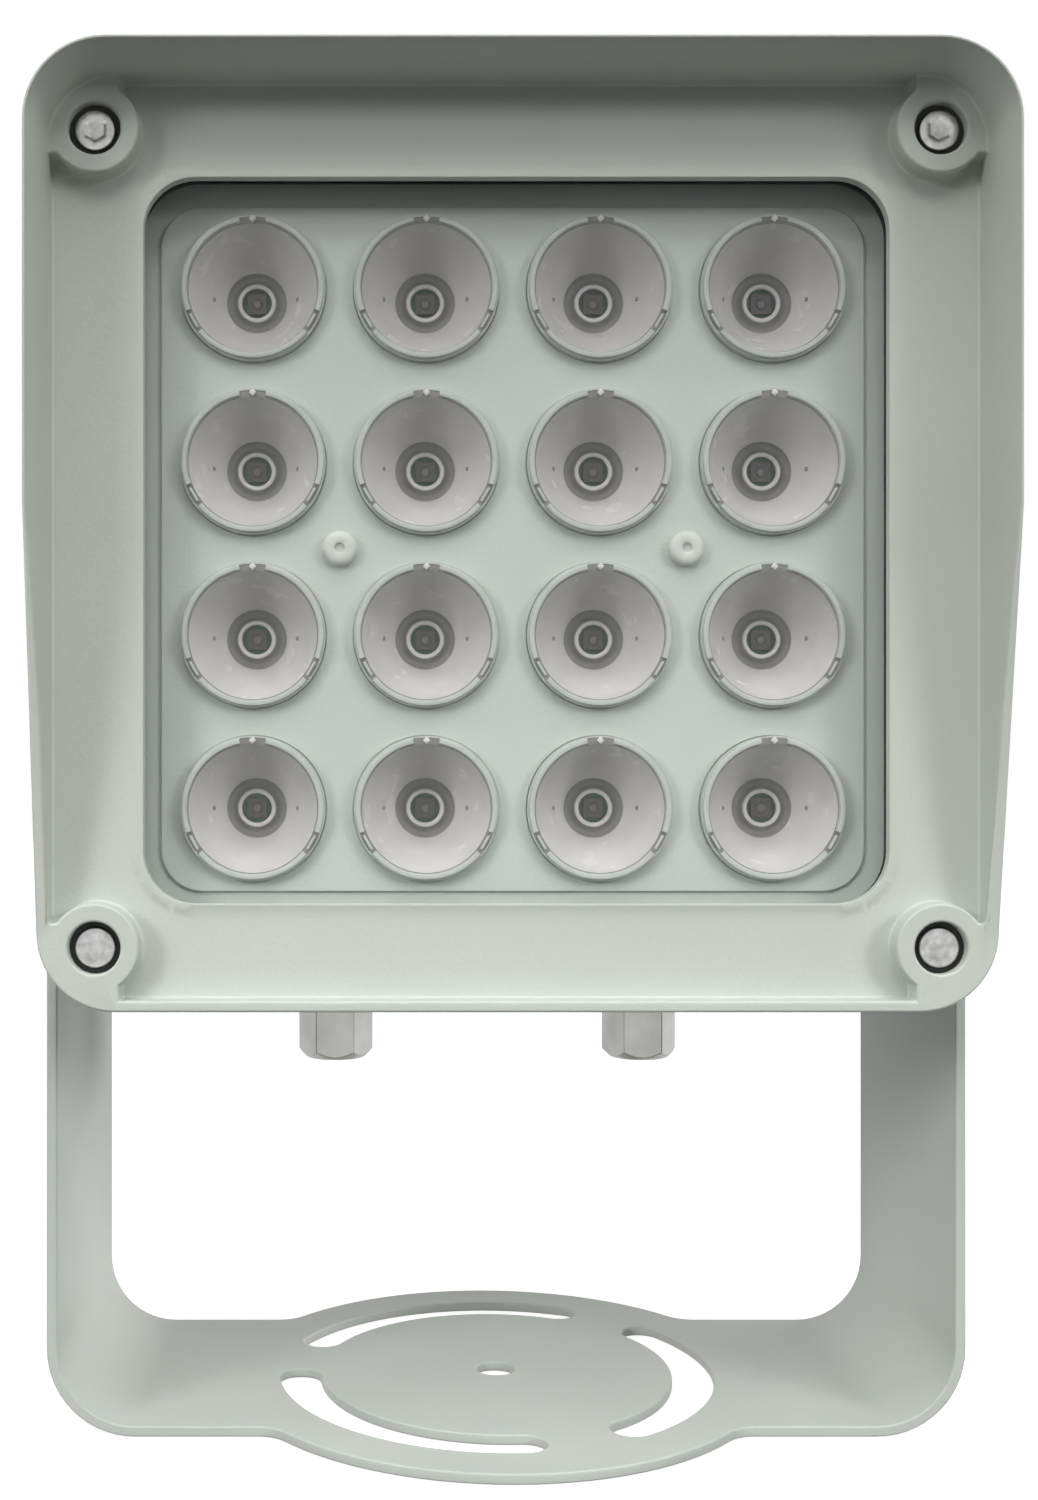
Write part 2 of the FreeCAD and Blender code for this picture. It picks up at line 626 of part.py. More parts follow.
def make_led_row(row):
    """Four emitter packages: a square base with a smaller cap over the chip."""
    base_y = board_y - CHIP_BASE
    base = CHIP_SIZE / 2
    cap = CHIP_CAP_SIZE / 2
    chips = []
    for x, z in lens_places(row):
        chip = box((x - base, x + base), (base_y, board_y), (z - base, z + base))
        chips.append(chip.fuse(box((x - cap, x + cap), (board_y - CHIP_HEIGHT, base_y), (z - cap, z + cap))))
    return Part.makeCompound(chips)


def make_lens_tray():
    """Moulded pan with a hole for each lens, two posts, and a rim that presses the glass gasket."""
    shell = plate(tray_width, tray_height, TRAY_CORNER, tray_y, spreader_y, lens_z)
    ledge_y = tray_y + LEDGE_SETBACK
    ledge = plate(gasket_width, gasket_height, gasket_corner,
                  gasket_back_y, ledge_y + LEDGE_THICKNESS, lamp_z)
    well = plate(gasket_width - 2 * LEDGE_RIM, gasket_height - 2 * LEDGE_RIM, gasket_corner - LEDGE_RIM,
                 gasket_back_y - OVERCUT, ledge_y, lamp_z)
    inside = plate(tray_width - 2 * TRAY_WALL, tray_height - 2 * TRAY_WALL, TRAY_CORNER - TRAY_WALL,
                   tray_y + TRAY_WALL, spreader_y + OVERCUT, lens_z)
    tray = ledge.cut(well).fuse(shell).cut(inside)
    for x, z in tray_screw_places():
        tray = tray.fuse(rod_y(TRAY_POST_RADIUS, tray_y + TRAY_WALL / 2, board_y, x, z))
    for row in range(GRID_COUNT):
        for x, z in lens_places(row):
            tray = tray.cut(rod_y(LENS_RADIUS + TRAY_LENS_GAP, tray_y - OVERCUT, tray_y + 2 * TRAY_WALL, x, z))
    for x, z in tray_screw_places():
        tray = tray.cut(rod_y(TRAY_SCREW_RADIUS + CLEARANCE_HOLE, tray_y - OVERCUT, board_y + OVERCUT, x, z))
    return tray.removeSplitter()


def make_tray_screws():
    """Two nylon screws through the tray and the board into the heat spreader."""
    screws = []
    for x, z in tray_screw_places():
        head_y = tray_y - TRAY_HEAD_HEIGHT
        screw = rod_y(TRAY_HEAD_RADIUS, head_y, tray_y, x, z)
        screw = screw.fuse(rod_y(TRAY_SCREW_RADIUS, tray_y, spreader_back_y, x, z))
        screws.append(screw.cut(rod_y(TRAY_RECESS_RADIUS, head_y - OVERCUT, head_y + TRAY_RECESS_DEPTH, x, z)))
    return Part.makeCompound(screws)


def make_led_board():
    board = plate(board_width, board_height, board_corner, board_y, spreader_y, lens_z)
    for x, z in tray_screw_places():
        hole = rod_y(TRAY_SCREW_RADIUS + CLEARANCE_HOLE, board_y - OVERCUT, spreader_y + OVERCUT, x, z)
        board = board.cut(hole)
    return board


def make_heat_spreader():
    """Aluminium plate that carries the board and passes its heat to the housing."""
    spreader = plate(spreader_width, spreader_height, SPREADER_CORNER, spreader_y, spreader_back_y, lens_z)
    depth = (spreader_y - OVERCUT, spreader_back_y + OVERCUT)
    for x, z in tray_screw_places():
        spreader = spreader.cut(rod_y(TRAY_SCREW_RADIUS + THREAD_GAP, *depth, x, z))
    for x, z, _ in spreader_screw_places():
        spreader = spreader.cut(rod_y(SPREADER_SCREW_RADIUS + CLEARANCE_HOLE, *depth, x, z))
    return spreader


def make_spreader_screws():
    screws = []
    for x, z, _ in spreader_screw_places():
        shank = rod_y(SPREADER_SCREW_RADIUS, spreader_y, spreader_y + SPREADER_SCREW_LENGTH, x, z)
        head = rod_y(SPREADER_HEAD_RADIUS, spreader_y - SPREADER_HEAD_HEIGHT, spreader_y, x, z)
        screws.append(shank.fuse(head))
    return Part.makeCompound(screws)


def make_driver_board():
    board = box((-DRIVER_WIDTH / 2, DRIVER_WIDTH / 2), (driver_front_y, driver_y),
                (driver_z - DRIVER_HEIGHT / 2, driver_z + DRIVER_HEIGHT / 2))
    for x, z in driver_screw_places():
        hole = rod_y(DRIVER_SCREW_RADIUS + CLEARANCE_HOLE, driver_front_y - OVERCUT, driver_y + OVERCUT, x, z)
        board = board.cut(hole)
    return board


def make_driver_coil():
    half = COIL_SIZE / 2
    coil = box((COIL_X - half, COIL_X + half), (driver_front_y - COIL_HEIGHT, driver_front_y),
               (driver_z - half, driver_z + half))
    return coil.makeFillet(COIL_CORNER, edges_along(coil, AXIS_Y))


def make_driver_capacitor():
    return rod_y(CAPACITOR_RADIUS, driver_front_y - CAPACITOR_LENGTH, driver_front_y, CAPACITOR_X, driver_z)


def make_driver_terminal():
    """Screw terminal block near the board's lower edge, above the cable glands."""
    z = driver_z - TERMINAL_DROP
    return box((TERMINAL_X - TERMINAL_LENGTH / 2, TERMINAL_X + TERMINAL_LENGTH / 2),
               (driver_front_y - TERMINAL_HEIGHT, driver_front_y),
               (z - TERMINAL_DEPTH / 2, z + TERMINAL_DEPTH / 2))


def make_driver_screws():
    screws = []
    for x, z in driver_screw_places():
        shank = rod_y(DRIVER_SCREW_RADIUS, driver_front_y, driver_front_y + DRIVER_SCREW_LENGTH, x, z)
        head = rod_y(DRIVER_HEAD_RADIUS, driver_front_y - DRIVER_HEAD_HEIGHT, driver_front_y, x, z)
        screws.append(shank.fuse(head))
    return Part.makeCompound(screws)


def make_gland_body(x):
    """Hexagon with a threaded spigot up into the housing and a neck down into the nut."""
    body = hexagon(GLAND_FLATS, GLAND_HEX_HEIGHT, vec(x, gland_y, hex_bottom_z), AXIS_Z, AXIS_X)
    spigot_end = housing_bottom_z + GLAND_THREAD_LENGTH
    neck_end = hex_bottom_z - GLAND_NECK_LENGTH
    body = body.fuse(rod_z(GLAND_THREAD_RADIUS, housing_bottom_z, spigot_end, x, gland_y))
    body = body.fuse(rod_z(GLAND_NECK_RADIUS, neck_end, hex_bottom_z, x, gland_y))
    bore = rod_z(GLAND_BORE_RADIUS, neck_end - OVERCUT, spigot_end + OVERCUT, x, gland_y)
    pocket = rod_z(SEAL_RADIUS + SEAL_FIT, neck_end - OVERCUT, nut_seat_z + SEAL_LENGTH, x, gland_y)
    return body.cut(bore).cut(pocket)


def make_gland_nut(x):
    """Domed hexagon nut that squeezes the seal."""
    nut = hexagon(GLAND_FLATS, GLAND_NUT_LENGTH, vec(x, gland_y, nut_bottom_z), AXIS_Z, AXIS_X)
    corner = hexagon_corner(GLAND_FLATS)
    dome = revolve_z([
        (0, nut_bottom_z), (corner - GLAND_NUT_BEVEL, nut_bottom_z),
        (corner + OVERCUT, nut_bottom_z + GLAND_NUT_BEVEL + OVERCUT),
        (corner + OVERCUT, nut_top_z), (0, nut_top_z),
    ], x, gland_y)
    nut = nut.common(dome)
    nut = nut.cut(rod_z(GLAND_NECK_RADIUS + THREAD_GAP, nut_seat_z, nut_top_z + OVERCUT, x, gland_y))
    return nut.cut(rod_z(GLAND_MOUTH_RADIUS, nut_bottom_z - OVERCUT, nut_seat_z + OVERCUT, x, gland_y))


def make_gland_seals():
    seals = []
    for side in SIDES:
        x = side * GLAND_X
        seal = rod_z(SEAL_RADIUS, nut_seat_z, nut_seat_z + SEAL_LENGTH, x, gland_y)
        bore = rod_z(SEAL_BORE_RADIUS, nut_seat_z - OVERCUT, nut_seat_z + SEAL_LENGTH + OVERCUT, x, gland_y)
        seals.append(seal.cut(bore))
    return Part.makeCompound(seals)


def make_gland_locknuts():
    seat_z = housing_bottom_z + HOUSING_WALL
    nuts = []
    for side in SIDES:
        x = side * GLAND_X
        nut = hexagon(GLAND_LOCKNUT_FLATS, GLAND_LOCKNUT_HEIGHT, vec(x, gland_y, seat_z), AXIS_Z, AXIS_X)
        hole_ends = (seat_z - OVERCUT, seat_z + GLAND_LOCKNUT_HEIGHT + OVERCUT)
        nuts.append(nut.cut(rod_z(GLAND_THREAD_RADIUS + THREAD_GAP, *hole_ends, x, gland_y)))
    return Part.makeCompound(nuts)


def make_pivot_bolt(side):
    """Hexagon head bolt through the leg into the housing's boss."""
    bolt = rod_x(PIVOT_BOLT_RADIUS, side * bolt_end_x, side * bolt_head_x, 0, PIVOT_HEIGHT)
    start = vec(side * bolt_head_x, 0, PIVOT_HEIGHT)
    return bolt.fuse(hexagon(PIVOT_HEAD_FLATS, PIVOT_HEAD_HEIGHT, start, AXIS_X * side, AXIS_Z))


def make_pivot_rings(radius, thickness, inner_face_x):
    """Pair of rings round the pivot bolts, one to a side."""
    outer_face_x = inner_face_x + thickness
    rings = []
    for side in SIDES:
        ring = rod_x(radius, side * inner_face_x, side * outer_face_x, 0, PIVOT_HEIGHT)
        hole_ends = (side * (inner_face_x - OVERCUT), side * (outer_face_x + OVERCUT))
        rings.append(ring.cut(rod_x(PIVOT_BOLT_RADIUS + PIVOT_FIT, *hole_ends, 0, PIVOT_HEIGHT)))
    return Part.makeCompound(rings)


def make_all():
    parts = {
        "bracket": make_bracket(),
        "front_frame": make_front_frame(),
        "front_glass": make_front_glass(),
        "glass_gasket": make_glass_gasket(),
        "frame_gasket": make_frame_gasket(),
        "frame_screws": make_frame_screws(),
        "frame_screw_seals": make_frame_screw_seals(),
        "rear_housing": make_rear_housing(),
        "lens_tray": make_lens_tray(),
        "tray_screws": make_tray_screws(),
        "led_board": make_led_board(),
        "heat_spreader": make_heat_spreader(),
        "spreader_screws": make_spreader_screws(),
        "driver_board": make_driver_board(),
        "driver_coil": make_driver_coil(),
        "driver_capacitor": make_driver_capacitor(),
        "driver_terminal": make_driver_terminal(),
        "driver_screws": make_driver_screws(),
        "gland_seals": make_gland_seals(),
        "gland_locknuts": make_gland_locknuts(),
        "pivot_washers": make_pivot_rings(PIVOT_WASHER_RADIUS, PIVOT_WASHER_THICKNESS, washer_x),
        "pivot_discs": make_pivot_rings(PIVOT_DISC_RADIUS, PIVOT_DISC_THICKNESS, boss_face_x),
    }
    for row in range(GRID_COUNT):
        parts["lens_row_%d" % (row + 1)] = make_lens_row(row)
        parts["led_row_%d" % (row + 1)] = make_led_row(row)
    for side, name in zip(SIDES, ("left", "right")):
        parts["gland_body_" + name] = make_gland_body(side * GLAND_X)
        parts["gland_nut_" + name] = make_gland_nut(side * GLAND_X)
        parts["pivot_bolt_" + name] = make_pivot_bolt(side)
    return parts


os.makedirs("parts", exist_ok=True)
for node, shape in make_all().items():
    shape.exportStep("parts/%s.step" % node)
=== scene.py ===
import math
import bmesh
import bpy
from mathutils import Matrix, Vector


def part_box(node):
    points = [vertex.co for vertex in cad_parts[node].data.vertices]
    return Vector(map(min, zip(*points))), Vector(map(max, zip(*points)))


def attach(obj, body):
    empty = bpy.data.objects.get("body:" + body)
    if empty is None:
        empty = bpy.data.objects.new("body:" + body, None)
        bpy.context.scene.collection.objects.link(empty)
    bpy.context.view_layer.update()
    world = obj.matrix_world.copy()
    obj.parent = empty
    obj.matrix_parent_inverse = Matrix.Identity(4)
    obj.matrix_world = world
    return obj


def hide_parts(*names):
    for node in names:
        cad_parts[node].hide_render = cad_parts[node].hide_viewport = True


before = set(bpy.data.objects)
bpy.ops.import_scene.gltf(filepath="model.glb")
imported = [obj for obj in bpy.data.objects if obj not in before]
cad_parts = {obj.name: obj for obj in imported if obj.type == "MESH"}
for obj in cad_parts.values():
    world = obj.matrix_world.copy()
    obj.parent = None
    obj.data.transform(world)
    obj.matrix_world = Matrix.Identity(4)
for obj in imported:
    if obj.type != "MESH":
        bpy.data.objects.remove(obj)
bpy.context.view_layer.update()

# Bracket: one strip of steel sheet with a round disc in its middle, bent up into two legs and
# powder coated in light grey. The coat rounds its cut edges a little.
EDGE_SOFTNESS = 0.0005
WELD_DISTANCE = 0.000002
FLAT_ANGLE = math.radians(0.6)
SHARP_ANGLE = math.radians(32)
KEPT_CREASE = math.radians(50)
EASE_SEGMENTS = 2
PATCH_EDGES = (0.32, 0.68)


def paint_chip(red, green, blue):
    """A colour as it reads on a paint chip, from 0 to 255, as the shader wants it."""
    def linear(value):
        value = value / 255
        return value / 12.92 if value < 0.04045 else ((value + 0.055) / 1.055) ** 2.4
    return linear(red), linear(green), linear(blue), 1.0


def finish(name, dark, light, patch, rough, grain, depth, metallic=0.0, spread=0.05, gleam=0.5):
    """A surface whose colour and gloss drift in patches and whose skin has a fine grain.

    patch and grain are noise scales in object space, depth is the height of the grain in metres,
    spread is how far the roughness drifts to either side of rough, and gleam is the specular level."""
    material = bpy.data.materials.new(name)
    material.use_nodes = True
    nodes, links = material.node_tree.nodes, material.node_tree.links
    shader = nodes["Principled BSDF"]
    shader.inputs["Metallic"].default_value = metallic
    shader.inputs["Specular IOR Level"].default_value = gleam
    place = nodes.new("ShaderNodeTexCoord")
    drift = nodes.new("ShaderNodeTexNoise")
    drift.inputs["Scale"].default_value = patch
    drift.inputs["Detail"].default_value = 4.0
    links.new(place.outputs["Object"], drift.inputs["Vector"])
    tint = nodes.new("ShaderNodeValToRGB")
    for stop, position, color in zip(tint.color_ramp.elements, PATCH_EDGES, (dark, light)):
        stop.position = position
        stop.color = color
    links.new(drift.outputs["Fac"], tint.inputs["Fac"])
    links.new(tint.outputs["Color"], shader.inputs["Base Color"])
    gloss = nodes.new("ShaderNodeMapRange")
    gloss.inputs["To Min"].default_value = rough - spread
    gloss.inputs["To Max"].default_value = rough + spread
    links.new(drift.outputs["Fac"], gloss.inputs["Value"])
    links.new(gloss.outputs["Result"], shader.inputs["Roughness"])
    skin = nodes.new("ShaderNodeTexNoise")
    skin.inputs["Scale"].default_value = grain
    skin.inputs["Detail"].default_value = 2.0
    links.new(place.outputs["Object"], skin.inputs["Vector"])
    relief = nodes.new("ShaderNodeBump")
    relief.inputs["Distance"].default_value = depth
    links.new(skin.outputs["Fac"], relief.inputs["Height"])
    links.new(relief.outputs["Normal"], shader.inputs["Normal"])
    return material


def piece_from(shape, name, *materials):
    """Turns a shape into a smooth shaded piece at the origin, with its creases kept."""
    for edge in shape.edges:
        if len(edge.link_faces) == 2:
            edge.smooth = edge.calc_face_angle() < KEPT_CREASE
    for face in shape.faces:
        face.smooth = True
    mesh = bpy.data.meshes.new(name)
    shape.to_mesh(mesh)
    shape.free()
    for material in materials:
        mesh.materials.append(material)
    piece = bpy.data.objects.new(name, mesh)
    bpy.context.scene.collection.objects.link(piece)
    shading = piece.modifiers.new("even_shading", "WEIGHTED_NORMAL")
    shading.keep_sharp = True
    return piece


def solid_copy(node):
    """A copy of a solid with its loose triangles joined into whole faces."""
    shape = bmesh.new()
    shape.from_mesh(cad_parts[node].data)
    bmesh.ops.remove_doubles(shape, verts=shape.verts, dist=WELD_DISTANCE)
    bmesh.ops.dissolve_limit(shape, angle_limit=FLAT_ANGLE, verts=shape.verts, edges=shape.edges)
    return shape


def sharp_edges(shape):
    """The edges of a shape that a real piece would have rounded."""
    return [edge for edge in shape.edges if len(edge.link_faces) == 2 and edge.calc_face_angle() > SHARP_ANGLE]


def ease(shape, edges, softness):
    """Rounds edges and hands back the faces that this makes."""
    made = bmesh.ops.bevel(shape, geom=edges, offset=softness, affect="EDGES", segments=EASE_SEGMENTS,
                           profile=0.5, material=-1, clamp_overlap=False)
    return set(made["faces"])


def eased_copy(node, softness):
    """A copy of a solid with all of its sharp edges rounded."""
    shape = solid_copy(node)
    ease(shape, sharp_edges(shape), softness)
    return shape


def fit(piece, body, slot, *nodes):
    """Puts a piece on its body in place of the plain solids that it stands for."""
    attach(piece, body)
    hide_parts(*nodes)


grey_coat = finish("grey_powder_coat", paint_chip(186, 191, 185), paint_chip(192, 197, 191),
                   patch=18.0, rough=0.46, grain=1400.0, depth=0.00004, gleam=0.3)
bracket = piece_from(eased_copy("bracket", EDGE_SOFTNESS), "bent_bracket", grey_coat)
fit(bracket, "bracket", "bracket_paint", "bracket")

# Rear housing: a cast aluminium tub with upright fins, in the same grey as the rest. The cast
# skin under the coat is a little coarser than the sheet's.
cast_coat = finish("cast_powder_coat", paint_chip(194, 199, 192), paint_chip(200, 205, 198),
                   patch=14.0, rough=0.48, grain=1100.0, depth=0.00006, gleam=0.3)
housing = piece_from(eased_copy("rear_housing", EDGE_SOFTNESS), "finned_housing", cast_coat)
fit(housing, "lamp", "lamp_paint", "rear_housing")

# Frame gasket: a flat ring cut from black rubber sheet. The corner screws press it between the
# front frame and the housing's rim.
black_rubber = finish("black_rubber", paint_chip(26, 27, 26), paint_chip(36, 37, 36),
                      patch=60.0, rough=0.72, grain=2200.0, depth=0.00003)


def dress(material, *nodes):
    """Gives solids that keep their shape a finish of their own."""
    for node in nodes:
        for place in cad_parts[node].material_slots:
            place.material = material


dress(black_rubber, "frame_gasket")

# Cable glands: nickel plated brass, each a hexagon body in the housing's floor with a nut that
# squeezes a rubber seal. The locknuts sit inside.
GLAND_SOFTNESS = 0.0003
nickel = finish("nickel_plate", paint_chip(156, 156, 153), paint_chip(174, 174, 171),
                patch=120.0, rough=0.3, grain=1800.0, depth=0.00001, metallic=1.0)
for side in ("left", "right"):
    body = piece_from(eased_copy("gland_body_" + side, GLAND_SOFTNESS), "gland_spigot_" + side, nickel)
    fit(body, "lamp", "nickel_plate", "gland_body_" + side)
    nut = piece_from(eased_copy("gland_nut_" + side, GLAND_SOFTNESS), "gland_cap_" + side, nickel)
    fit(nut, "lamp", "nickel_plate", "gland_nut_" + side)
dress(nickel, "gland_locknuts")
dress(black_rubber, "gland_seals")

# Driver: a small supply board on standoffs at the back of the housing, with its coil, its
# capacitor and the terminal that takes the cable.
green_mask = finish("green_solder_mask", paint_chip(24, 74, 46), paint_chip(32, 88, 56),
                    patch=90.0, rough=0.35, grain=1500.0, depth=0.00001)
bare_aluminium = finish("mill_aluminium", paint_chip(196, 197, 198), paint_chip(212, 213, 214),
                        patch=40.0, rough=0.36, grain=900.0, depth=0.00001, metallic=1.0)
dark_plastic = finish("dark_moulding", paint_chip(30, 31, 33), paint_chip(40, 41, 43),
                      patch=80.0, rough=0.55, grain=1600.0, depth=0.00002)
dress(green_mask, "driver_board")
dress(dark_plastic, "driver_coil", "driver_terminal")
dress(bare_aluminium, "driver_capacitor")

# Heat spreader and emitter board: a mill finished aluminium plate on four screws, with a green
# masked board on it that carries the emitters.
satin_steel = finish("satin_stainless", paint_chip(148, 148, 146), paint_chip(164, 164, 162),
                     patch=120.0, rough=0.42, grain=2600.0, depth=0.00001, metallic=1.0)
dress(bare_aluminium, "heat_spreader")
dress(green_mask, "led_board")
dress(satin_steel, "spreader_screws", "driver_screws")

# Emitters: a square ceramic package under each lens, soldered to the board, with a clear cap
# moulded over its chip. Package and cap are painted dark for the shade deep in the lens bore.
board_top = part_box("led_board")[0].y
# Painted shade: both colours are the parts' own grey, darkened further to stand for the shade in the bore.
ceramic_in_shade = finish("ceramic_package_in_shade", paint_chip(62, 59, 58), paint_chip(72, 68, 67),
                 patch=300.0, rough=0.4, grain=2400.0, depth=0.00001)
cap_resin_in_shade = finish("cap_resin_in_shade", paint_chip(100, 95, 94), paint_chip(110, 104, 103),
                   patch=300.0, rough=0.12, grain=800.0, depth=0.0)
PACKAGE = 0.0045
PACKAGE_HEIGHT = 0.001
PACKAGE_SOFTNESS = 0.00015
CAP_RADIUS = 0.0012
CAP_BULGE = 0.6
CAP_SINK = 0.0001
CAP_ARCS = 6
CAP_STEPS = 24
ROW_COUNT = 4
TO_BACK = Vector((0, 1, 0))
TO_RIGHT = Vector((1, 0, 0))
UPWARDS = Vector((0, 0, 1))


def turned(shape, profile, centre, along, across, steps, material=0):
    """Spins a profile of (radius, distance) points about an axis through the centre."""
    points = [shape.verts.new(centre + across * radius + along * distance) for radius, distance in profile]
    edges = [shape.edges.new(pair) for pair in zip(points, points[1:])]
    known = set(shape.faces)
    bmesh.ops.spin(shape, geom=points + edges, cent=centre, axis=along, angle=2 * math.pi, steps=steps,
                   use_merge=True)
    for face in shape.faces:
        if face not in known:
            face.material_index = material


def add_block(shape, place, size, softness, material):
    """A small block with eased edges, set by a placing matrix."""
    block = bmesh.ops.create_cube(shape, size=1.0, matrix=place @ Matrix.Diagonal((*size, 1)))
    edges = list({edge for vert in block["verts"] for edge in vert.link_edges})
    for face in {face for vert in block["verts"] for face in vert.link_faces}:
        face.material_index = material
    bmesh.ops.bevel(shape, geom=edges, offset=softness, affect="EDGES", segments=EASE_SEGMENTS, profile=0.5,
                    material=-1)


def settled(shape):
    """The finished mesh of a shape: doubles merged, every face turned outwards."""
    bmesh.ops.remove_doubles(shape, verts=shape.verts, dist=WELD_DISTANCE)
    bmesh.ops.recalc_face_normals(shape, faces=shape.faces)
    mesh = bpy.data.meshes.new("single")
    shape.to_mesh(mesh)
    shape.free()
    return mesh


def copies_at(mesh, places):
    """One shape that holds a copy of a mesh at each place."""
    shape = bmesh.new()
    for place in places:
        count = len(shape.verts)
        shape.from_mesh(mesh)
        shape.verts.ensure_lookup_table()
        bmesh.ops.translate(shape, verts=shape.verts[count:], vec=place)
    return shape


def row_places(row, depth):
    """Centres of the lenses of a row at a depth, read from the solid row's own box."""
    low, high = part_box("lens_row_%d" % row)
    radius = (high.z - low.z) / 2
    pitch = (high.x - low.x - 2 * radius) / (ROW_COUNT - 1)
    return [Vector((low.x + radius + pitch * column, depth, low.z + radius)) for column in range(ROW_COUNT)]


shape = bmesh.new()
add_block(shape, Matrix.Translation(TO_BACK * (-PACKAGE_HEIGHT / 2)), (PACKAGE, PACKAGE_HEIGHT, PACKAGE),
          PACKAGE_SOFTNESS, 0)
dome = [(0.0, -CAP_RADIUS * CAP_BULGE)]
for step in range(1, CAP_ARCS + 1):
    lean = math.radians(90 / CAP_ARCS * step)
    dome.append((CAP_RADIUS * math.sin(lean), -CAP_RADIUS * CAP_BULGE * math.cos(lean)))
turned(shape, dome + [(CAP_RADIUS, CAP_SINK), (0.0, CAP_SINK)], TO_BACK * (-PACKAGE_HEIGHT), TO_BACK, TO_RIGHT,
       CAP_STEPS, material=1)
emitter = settled(shape)
for row in range(1, ROW_COUNT + 1):
    emitters = piece_from(copies_at(emitter, row_places(row, board_top)), "emitter_row_%d" % row,
                          ceramic_in_shade, cap_resin_in_shade)
    fit(emitters, "lamp", "led_ceramic", "led_row_%d" % row)

# Lenses: moulded collimators that sit over the emitters. Each has a light ring round a smoky
# bowl, a groove painted dark for the shade in it and a bright collar at the bottom, a tooth at the top and two
# tabs low down.
LENS_SKIRT = 0.0152
FLANGE_RADIUS = 0.01558
FLANGE_EDGE = 0.0009
RING_INNER = 0.01405
RING_CHAMFER = 0.0002
RING_SINK = 0.0001
FLANGE_DEPTH = 0.0011
BOWL_RADIUS = 0.01375
BOWL_BOTTOM = 0.0130
BOWL_CURVE = 1.25
GROOVE_RADIUS = 0.0066
GROOVE_DEPTH = 0.0011
GROOVE_FULLNESS = 0.7
COLLAR_RADIUS = 0.00425
COLLAR_CHAMFER = 0.0002
COLLAR_RISE = 0.0003
COLLAR_BORE = 0.00325
LENS_FOOT = 0.0144
PIP_PLACE = 0.0093
PIP_PROFILE = [(0.0, -0.0002), (0.0004, -0.0001), (0.0006, 0.0004), (0.0, 0.0004)]
PIP_STEPS = 12
TOOTH_SIDE = 0.0012
TAB_SIZE = (0.0034, 0.0011, 0.0006)
DETAIL_SOFTNESS = 0.0002
TAB_TURN = 120
TAB_HALF = 7
TAB_GAP = 3
NOTCH_HALF = 11
ARC_STEP = 5
BOWL_STEPS = 16
GROOVE_STEPS = 8
LENS_STEPS = 72

ring_acrylic = finish("lens_ring", paint_chip(182, 187, 182), paint_chip(191, 195, 190),
                      patch=200.0, rough=0.22, grain=900.0, depth=0.00001)
bowl_acrylic = finish("lens_bowl", paint_chip(196, 194, 193), paint_chip(205, 203, 202),
                      patch=150.0, rough=0.26, grain=700.0, depth=0.00001)
# Painted shade: a darker tone for the groove, the bore and the step inside the ring, where shade falls. The two
# pips on the bowl use it too.
painted_lens_shade = finish("lens_painted_shade", paint_chip(132, 130, 129), paint_chip(142, 140, 139),
                      patch=260.0, rough=0.5, grain=900.0, depth=0.00001)
collar_gloss = finish("lens_collar", paint_chip(212, 210, 209), paint_chip(221, 219, 218),
                      patch=260.0, rough=0.2, grain=900.0, depth=0.00001)


def bowl_depth(radius):
    """How far behind the lens front the bowl lies: steep at its rim and flatter at the bottom."""
    share = (radius - GROOVE_RADIUS) / (BOWL_RADIUS - GROOVE_RADIUS)
    return BOWL_BOTTOM - (BOWL_BOTTOM - FLANGE_DEPTH) * share ** BOWL_CURVE


def ring_arc(shape, first, last):
    """A closed length of the raised ring between two clock angles, in degrees from the top."""
    section = [(RING_INNER - RING_SINK, FLANGE_DEPTH + RING_SINK), (RING_INNER, RING_CHAMFER),
               (RING_INNER + RING_CHAMFER, 0.0), (LENS_SKIRT - RING_CHAMFER, 0.0),
               (LENS_SKIRT, RING_CHAMFER), (LENS_SKIRT, FLANGE_DEPTH + RING_SINK)]
    across = UPWARDS.copy()
    across.rotate(Matrix.Rotation(math.radians(first), 3, "Y"))
    start = shape.faces.new([shape.verts.new(across * radius + TO_BACK * depth) for radius, depth in section])
    bmesh.ops.spin(shape, geom=[start], cent=Vector(), axis=TO_BACK, angle=math.radians(last - first),
                   steps=round((last - first) / ARC_STEP))


shape = bmesh.new()
skirt = [(FLANGE_RADIUS, LENS_FOOT), (FLANGE_RADIUS, FLANGE_EDGE), (LENS_SKIRT, FLANGE_EDGE),
         (LENS_SKIRT, FLANGE_DEPTH)]
bowl = []
for step in range(BOWL_STEPS + 1):
    radius = BOWL_RADIUS + (GROOVE_RADIUS - BOWL_RADIUS) * step / BOWL_STEPS
    bowl.append((radius, bowl_depth(radius)))
groove = []
for step in range(GROOVE_STEPS + 1):
    share = step / GROOVE_STEPS
    groove.append((GROOVE_RADIUS + (COLLAR_RADIUS - GROOVE_RADIUS) * share,
                   BOWL_BOTTOM + GROOVE_DEPTH * math.sin(math.pi * share) ** GROOVE_FULLNESS))
collar_top = BOWL_BOTTOM - COLLAR_RISE
collar = [groove[-1], (COLLAR_RADIUS - COLLAR_CHAMFER, collar_top), (COLLAR_BORE + COLLAR_RISE, collar_top),
          (COLLAR_BORE, BOWL_BOTTOM)]
bore = [collar[-1], (COLLAR_BORE, LENS_FOOT), skirt[0]]
for material, section in enumerate((skirt, bowl, groove, collar)):
    turned(shape, section, Vector(), TO_BACK, TO_RIGHT, LENS_STEPS, material=material)
